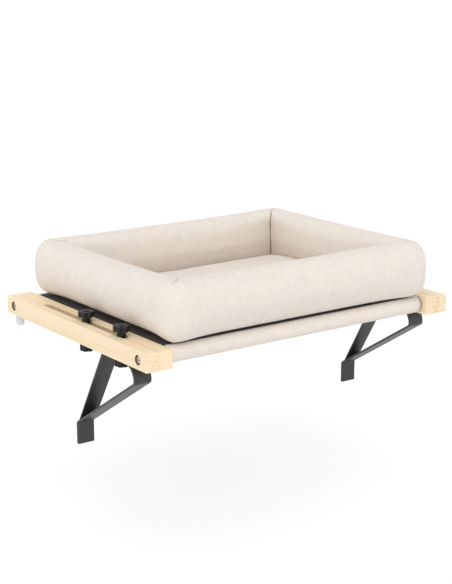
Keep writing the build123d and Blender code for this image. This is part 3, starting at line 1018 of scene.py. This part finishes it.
def pad_mesh():
    """A closed pillow: a top grid and a bottom grid, joined along one rim."""
    across, along = np.meshgrid(pad_lines(half_across), pad_lines(half_along))
    rise = edge_rise(across, along, half_along, half_across, PAD_DROP_ACROSS)
    rise = rise * edge_rise(along, across, half_across, half_along, PAD_DROP_ALONG)
    side_drop = PAD_SIDE_DROP_SHARE * np.abs(across) ** PAD_SIDE_POWER
    crown = (1 - side_drop) * (1 - np.abs(along) ** PAD_CROWN_POWER)
    rim = PAD_EDGE_HEIGHT * PAD_RIM_SHARE
    crown_height = pad_high.z - pad_low.z - PAD_EDGE_HEIGHT
    top = pad_low.z + rim + (PAD_EDGE_HEIGHT - rim) * rise + crown_height * crown
    bottom = pad_low.z + rim * (1 - rise)
    plan = np.stack([
        cushion_centre.x + across * (half_across - PAD_RIM_REACH),
        cushion_centre.y + along * (half_along - PAD_RIM_REACH),
    ], axis=-1)
    rows, columns = across.shape
    inner = np.zeros((rows, columns), dtype=bool)
    inner[1:-1, 1:-1] = True
    above = np.arange(rows * columns).reshape(rows, columns)
    below = np.where(inner, 0, above)
    below[inner] = rows * columns + np.arange(inner.sum())
    points = np.concatenate([
        np.column_stack([plan.reshape(-1, 2), top.ravel()]),
        np.column_stack([plan[inner], bottom[inner]]),
    ])
    faces = []
    for row in range(rows - 1):
        for column in range(columns - 1):
            for grid, order in ((above, (0, 1, 2, 3)), (below, (3, 2, 1, 0))):
                corners = (
                    grid[row, column],
                    grid[row, column + 1],
                    grid[row + 1, column + 1],
                    grid[row + 1, column],
                )
                faces.append([int(corners[number]) for number in order])
    return points, faces


def lay_pattern_flat(piece):
    """A flat map for cloth that lies or hangs: each face reads the plane that it mostly faces."""
    places = []
    for face in piece.data.polygons:
        normal = [abs(part) for part in face.normal]
        for vertex in face.vertices:
            x, y, z = piece.data.vertices[vertex].co
            if normal[2] >= max(normal[0], normal[1]):
                places.append((x, y))
            elif normal[1] >= normal[0]:
                places.append((x, z))
            else:
                places.append((y, z))
    lay_pattern(piece, places)


# %% Make the floor pad
def press_back(piece, other):
    """Bring each point that would enter the neighbour back to a small gap in front of it."""
    tree = BVHTree.FromObject(other, bpy.context.evaluated_depsgraph_get())
    points = points_of(piece)
    for number, point in enumerate(points):
        place, normal, face, distance = tree.find_nearest(Vector(point))
        inside = (Vector(point) - place).dot(normal) < 0
        if inside or distance < PAD_WALL_GAP:
            points[number] = place + normal * PAD_WALL_GAP
    put_points(piece, points)


pad_points, pad_faces = pad_mesh()
pad = make_piece("floor_pad", pad_points, pad_faces, cream)
pad_start, pad_end = pad_points.min(axis=0), pad_points.max(axis=0)
fill(pad, PAD_CAP)
fit_between(pad, pad_start, pad_end)
round_off(pad)
press_back(pad, wall)
pick(pad)
bpy.ops.object.shade_smooth()
lay_pattern_flat(pad)
hand_over(pad, "cushion", "beige_weave", "cushion_floor_pad")
print("pad", [round(size * 1000, 1) for size in pad.dimensions])

# %% [markdown]
# ## Flat cloths
# The cushion's underside is one dark base cloth. The deck is a stretched sheet with its side edges
# turned over and sewn. At each end a cream sleeve is sewn to the deck and wraps a crossbar. Sheets are
# laid out as grids or as a line pushed sideways, and a Solidify modifier gives them their thickness.

# %% Helpers for sheets
SHEET_STEP = 0.006


def thicken(piece, thickness, offset=0.0):
    solid = piece.modifiers.new("thickness", "SOLIDIFY")
    solid.thickness = thickness
    solid.offset = offset
    solid.use_even_offset = True
    apply_all(piece)


def sweep_across(name, line, half_width, material):
    """A sheet made of a line of (y, z) points pushed sideways, with its flat map."""
    line = np.array(line)
    steps = max(2, round(half_width * 2 / SHEET_STEP))
    across = np.linspace(-half_width, half_width, steps + 1)
    travelled = np.concatenate([[0], np.cumsum(np.linalg.norm(np.diff(line, axis=0), axis=1))])
    points = [(x, y, z) for x in across for y, z in line]
    count = len(line)
    faces, flat = [], []
    for column in range(steps):
        for row in range(count - 1):
            near = column * count + row
            faces.append((near, near + 1, near + count + 1, near + count))
            for step, spot in ((0, row), (0, row + 1), (1, row + 1), (1, row)):
                flat.append((across[column + step], travelled[spot]))
    piece = make_piece(name, points, faces, material)
    lay_pattern(piece, flat)
    return piece, float(travelled[-1])


# %% The cushion's base cloth
base_low, base_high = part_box("cushion_base_cloth")
base_line = [
    (y, (base_low.z + base_high.z) / 2)
    for y in np.arange(base_low.y, base_high.y, SHEET_STEP)
]
base_line.append((base_high.y, (base_low.z + base_high.z) / 2))
base, base_length = sweep_across("base_cloth", base_line, base_high.x, charcoal)
thicken(base, base_high.z - base_low.z)
hand_over(base, "cushion", "charcoal_cloth", "cushion_base_cloth")

# %% The deck
deck_low, deck_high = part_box("deck_cloth")
HEM_WIDTH = 0.010
HEM_RAISE = 0.0004
DECK_SAG = 0.0012
CLOTH_THICKNESS = deck_high.z - deck_low.z


def deck_sheet():
    """The deck: taut from bar to bar, with a slight dip between them and thicker hems at its sides."""
    middle = (deck_low.z + deck_high.z) / 2
    steps = round((deck_high.y - deck_low.y) / SHEET_STEP)
    line = []
    for y in np.linspace(deck_low.y, deck_high.y, steps + 1):
        dip = math.cos(math.pi / 2 * y / deck_high.y)
        line.append((y, middle - DECK_SAG * dip))
    piece, length = sweep_across("deck", line, deck_high.x, charcoal)
    thicken(piece, CLOTH_THICKNESS)
    points = points_of(piece)
    hem = np.abs(points[:, 0]) > deck_high.x - HEM_WIDTH
    points[hem, 2] += np.where(points[hem, 2] > middle, 0, -HEM_RAISE)
    put_points(piece, points)
    return piece, length


deck, deck_length = deck_sheet()

# %% The sleeves
SLEEVE_ARC_STEPS = 40
SLEEVE_TAIL_STEPS = 5
bar_low, bar_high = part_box("crossbar_front")
bar_centre = (bar_low + bar_high) / 2
sleeve_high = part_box("deck_sleeve_front")[1]
SLEEVE_RADIUS = (sleeve_high.z - bar_centre.z) - CLOTH_THICKNESS / 2
SEAM_SETBACK = deck_low.y - bar_centre.y
TAIL_REACH = sleeve_high.y - bar_centre.y
TAIL_DROP = 0.00135


def sleeve_line():
    """The sleeve's line round the bar: from the top seam over the front, under, and back to the deck."""
    tail_height = SLEEVE_RADIUS - TAIL_DROP
    distance = math.hypot(TAIL_REACH, tail_height)
    leave = math.atan2(tail_height, TAIL_REACH) - math.acos(SLEEVE_RADIUS / distance)
    line = [(SEAM_SETBACK, SLEEVE_RADIUS)]
    for angle in np.linspace(math.pi / 2, math.pi * 2 + leave, SLEEVE_ARC_STEPS):
        line.append((SLEEVE_RADIUS * math.cos(angle), SLEEVE_RADIUS * math.sin(angle)))
    end = np.array([TAIL_REACH, tail_height])
    start = np.array(line[-1])
    for share in np.linspace(0, 1, SLEEVE_TAIL_STEPS + 1)[1:]:
        line.append(tuple(start + (end - start) * share))
    return line


def sleeve(place):
    towards = -1 if place == "rear" else 1
    line = [
        (towards * (bar_centre.y + y), bar_centre.z + z)
        for y, z in sleeve_line()
    ]
    if place == "rear":
        line.reverse()
    piece, length = sweep_across(f"sleeve_{place}", line, sleeve_high.x, cream)
    thicken(piece, CLOTH_THICKNESS)
    return piece, length


sleeves = {place: sleeve(place) for place in PLACES}
print("sleeve cut", round(sleeve_high.x * 2000), "by", round(sleeves["front"][1] * 1000), "mm")

# %% Hand over the deck and sleeves
hand_over(deck, "bed_frame", "charcoal_cloth", "deck_cloth")
for place, (piece, length) in sleeves.items():
    hand_over(piece, "bed_frame", "beige_weave", f"deck_sleeve_{place}")
